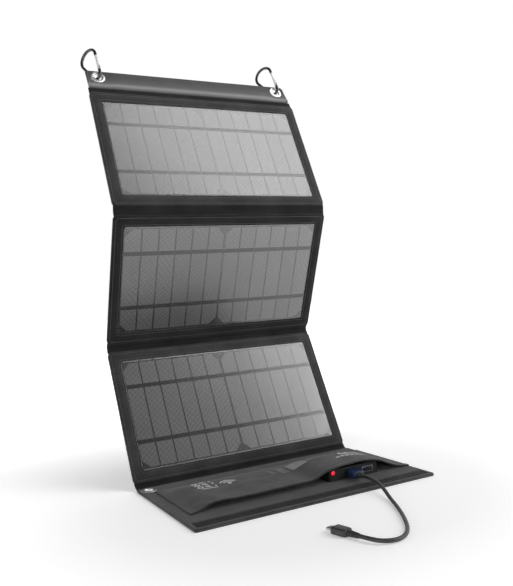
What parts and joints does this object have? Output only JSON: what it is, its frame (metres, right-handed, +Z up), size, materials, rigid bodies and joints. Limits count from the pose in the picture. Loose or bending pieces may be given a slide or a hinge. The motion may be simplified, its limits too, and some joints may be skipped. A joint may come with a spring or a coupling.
{
  "type": "folding solar charger",
  "caption": "Fabric folding solar charger that stands as a zigzag: flat pocket section with a controller and USB lead, framed cell panels above it, and a hanging strip with carabiners.",
  "frame": {"origin": "centre of the pocket section's underside, on the surface it lies on", "axes": "+X to the right across the panels, +Y to the rear, +Z up"},
  "size_m": [0.28, 0.4193, 0.5229],
  "materials": {
    "outer_cloth": "woven polyester, matt",
    "border_cloth": "woven polyester, matt",
    "fold_cloth": "woven polyester, matt",
    "lining_cloth": "woven polyester, matt",
    "pocket_cloth": "woven polyester, matt",
    "strip_cloth": "woven polyester, matt",
    "flap_board": "plain sheet",
    "fibre_board": "pressed fibre board",
    "back_sheet": "satin",
    "cells": "silicon wafer under film",
    "ribbons": "dark tape over copper",
    "clear_film": "dimpled clear film",
    "eyelet_metal": "polished nickel plate",
    "carabiner_black": "black anodised, polished",
    "gate_metal": "polished",
    "steel": "machined",
    "housing": "moulded, fine texture",
    "circuit": "circuit board",
    "lens": "red, lit",
    "shell_metal": "stamped",
    "plug_metal": "stamped",
    "usb_blue": "moulded",
    "plug_grip": "moulded, satin",
    "cable": "smooth jacket",
    "sleeve": "smooth",
    "connector": "satin",
    "lead": "flat jacket"
  },
  "bodies": {
    "pocket_section": {"controller_base": "housing", "controller_circuit": "circuit", "controller_lid": "housing", "controller_screw_1": "steel", "controller_screw_2": "steel", "flap_backing_cloth": "outer_cloth", "flap_eyelet": "eyelet_metal", "flap_lining_cloth": "lining_cloth", "flap_stiffener": "flap_board", "panel_lead": "lead", "pocket_cover": "pocket_cloth", "root_fold_web": "fold_cloth", "socket_tongue_left": "usb_blue", "socket_tongue_right": "usb_blue", "status_lens": "lens", "usb_socket_left": "shell_metal", "usb_socket_right": "shell_metal"},
    "panel_lower": {"lower_back_sheet": "back_sheet", "lower_backing_cloth": "outer_cloth", "lower_cell_ribbons": "ribbons", "lower_cell_strips": "cells", "lower_clear_film": "clear_film", "lower_stiffener": "fibre_board", "lower_window_border": "border_cloth", "middle_fold_web": "fold_cloth"},
    "panel_middle": {"middle_back_sheet": "back_sheet", "middle_backing_cloth": "outer_cloth", "middle_cell_ribbons": "ribbons", "middle_cell_strips": "cells", "middle_clear_film": "clear_film", "middle_stiffener": "fibre_board", "middle_window_border": "border_cloth", "upper_fold_web": "fold_cloth"},
    "panel_upper": {"strip_fold_web": "fold_cloth", "upper_back_sheet": "back_sheet", "upper_backing_cloth": "outer_cloth", "upper_cell_ribbons": "ribbons", "upper_cell_strips": "cells", "upper_clear_film": "clear_film", "upper_stiffener": "fibre_board", "upper_window_border": "border_cloth"},
    "hanging_strip": {"strip_cloth": "strip_cloth", "strip_core": "fibre_board", "strip_eyelet_left": "eyelet_metal", "strip_eyelet_right": "eyelet_metal", "strip_washer_left": "eyelet_metal", "strip_washer_right": "eyelet_metal"},
    "carabiner_left": {"carabiner_left_pin": "steel", "carabiner_left_rod": "carabiner_black"},
    "gate_left": {"gate_left_bar": "gate_metal"},
    "carabiner_right": {"carabiner_right_pin": "steel", "carabiner_right_rod": "carabiner_black"},
    "gate_right": {"gate_right_bar": "gate_metal"},
    "usb_lead": {"cable_tube": "cable", "connector_grip": "connector", "connector_sleeve": "sleeve", "connector_tip": "plug_metal", "usb_plug_grip": "plug_grip", "usb_plug_insulator": "usb_blue", "usb_plug_shell": "plug_metal"}
  },
  "joints": [
    {"name": "fold_lower", "type": "hinge", "parent": "pocket_section", "child": "panel_lower", "pos_m": [0, 0.0835, 0.0022], "axis": [1, 0, 0], "range_deg": [-20, 102], "deforming": ["root_fold_web"]},
    {"name": "fold_middle", "type": "hinge", "parent": "panel_lower", "child": "panel_middle", "pos_m": [0, 0.16306, 0.15254], "axis": [1, 0, 0], "range_deg": [-224.5, 44.5], "deforming": ["middle_fold_web"]},
    {"name": "fold_upper", "type": "hinge", "parent": "panel_middle", "child": "panel_upper", "pos_m": [0, 0.09325, 0.30877], "axis": [1, 0, 0], "range_deg": [-44, 222.5], "deforming": ["upper_fold_web"]},
    {"name": "strip_fold", "type": "hinge", "parent": "panel_upper", "child": "hanging_strip", "pos_m": [0, 0.16401, 0.46007], "axis": [1, 0, 0], "range_deg": [-60, 80], "deforming": ["strip_fold_web"]},
    {"name": "carabiner_left_swing", "type": "hinge", "parent": "hanging_strip", "child": "carabiner_left", "pos_m": [-0.124, 0.17619, 0.47957], "axis": [1, 0, 0], "range_deg": [-12, 12]},
    {"name": "gate_left_open", "type": "hinge", "parent": "carabiner_left", "child": "gate_left", "pos_m": [-0.12118, 0.17694, 0.49185], "axis": [-0.8829, -0.4106, 0.2276], "range_deg": [0, 32], "stiffness_Nm_per_rad": 0.02, "springref_deg": -17.19},
    {"name": "carabiner_right_swing", "type": "hinge", "parent": "hanging_strip", "child": "carabiner_right", "pos_m": [0.124, 0.17619, 0.47957], "axis": [1, 0, 0], "range_deg": [-12, 12]},
    {"name": "gate_right_open", "type": "hinge", "parent": "carabiner_right", "child": "gate_right", "pos_m": [0.12682, 0.17694, 0.49185], "axis": [-0.8829, -0.4106, 0.2276], "range_deg": [0, 32], "stiffness_Nm_per_rad": 0.02, "springref_deg": -17.19},
    {"name": "lead_unplug", "type": "slide", "parent": "pocket_section", "child": "usb_lead", "axis": [0, -1, 0], "range_m": [0, 0.014]}
  ],
  "couplings": [
    {"joint": "fold_middle", "follows": "fold_lower", "ratio": -2.1961},
    {"joint": "fold_upper", "follows": "fold_lower", "ratio": 2.1765}
  ]
}
